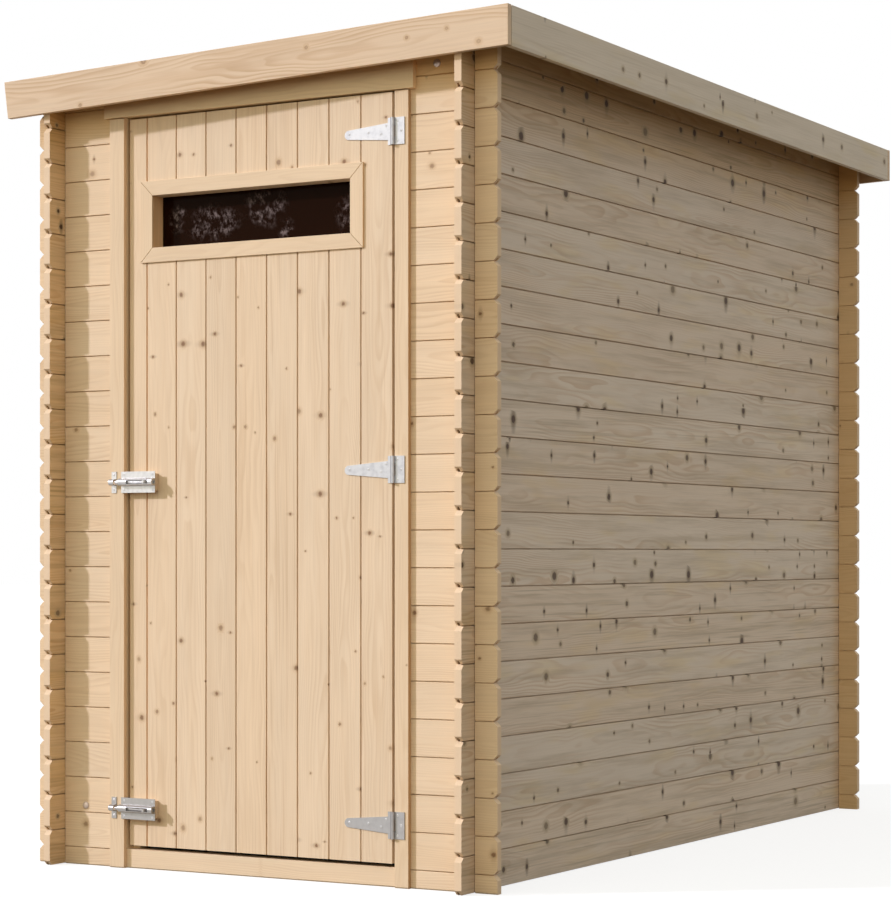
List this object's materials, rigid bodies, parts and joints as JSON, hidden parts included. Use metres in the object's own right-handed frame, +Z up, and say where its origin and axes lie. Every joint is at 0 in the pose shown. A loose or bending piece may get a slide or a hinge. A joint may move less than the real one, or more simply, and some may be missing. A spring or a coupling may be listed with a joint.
{
  "type": "garden shed",
  "caption": "Small timber garden shed with cross-lapped corners, a single-slope boarded roof and a hinged boarded door with a slot window and sliding bolts.",
  "frame": {"origin": "on the ground, midway under the roof", "axes": "+X towards the high side of the roof, +Y from the door wall to the rear wall, +Z up"},
  "size_m": [1.476, 2.53, 2.0656],
  "materials": {
    "wall_timber": "planed, knotty",
    "frame_timber": "planed, knotty",
    "roof_timber": "planed, knotty",
    "door_timber": "planed, knotty",
    "pane_glass": "clear, dark room behind",
    "zinc_steel": "zinc coated, dull bright"
  },
  "bodies": {
    "shed": {"left_wall": "wall_timber", "right_wall": "wall_timber", "rear_wall": "wall_timber", "front_wall_left": "wall_timber", "front_wall_right": "wall_timber", "front_wall_top": "wall_timber", "storm_battens": "frame_timber", "latch_casing": "frame_timber", "hinge_casing": "frame_timber", "lintel": "frame_timber", "sill": "frame_timber", "latch_lining": "frame_timber", "hinge_lining": "frame_timber", "head_lining": "frame_timber", "door_stops": "frame_timber", "roof_boards": "roof_timber", "front_fascia": "roof_timber", "rear_fascia": "roof_timber", "high_side_fascia": "roof_timber", "eave_strip": "roof_timber", "bottom_hinge_leaf": "zinc_steel", "middle_hinge_leaf": "zinc_steel", "top_hinge_leaf": "zinc_steel", "lower_keep": "zinc_steel", "upper_keep": "zinc_steel"},
    "door": {"door_boards": "door_timber", "door_ledges": "door_timber", "door_braces": "door_timber", "window_trim": "door_timber", "window_pane": "pane_glass", "glazing_frame": "door_timber", "bottom_hinge_strap": "zinc_steel", "middle_hinge_strap": "zinc_steel", "top_hinge_strap": "zinc_steel", "lower_bolt_block": "door_timber", "upper_bolt_block": "door_timber", "lower_bolt_case": "zinc_steel", "upper_bolt_case": "zinc_steel"},
    "lower_rod": {"lower_bolt_rod": "zinc_steel"},
    "upper_rod": {"upper_bolt_rod": "zinc_steel"}
  },
  "joints": [
    {"name": "door_hinge", "type": "hinge", "parent": "shed", "child": "door", "pos_m": [0.3915, -1.2025, 0.98], "axis": [0, 0, 1], "range_deg": [0, 150]},
    {"name": "lower_bolt_slide", "type": "slide", "parent": "door", "child": "lower_rod", "axis": [-0.9998, 0.0204, 0], "range_m": [0, 0.027]},
    {"name": "upper_bolt_slide", "type": "slide", "parent": "door", "child": "upper_rod", "axis": [-0.9998, 0.0204, 0], "range_m": [0, 0.027]}
  ]
}
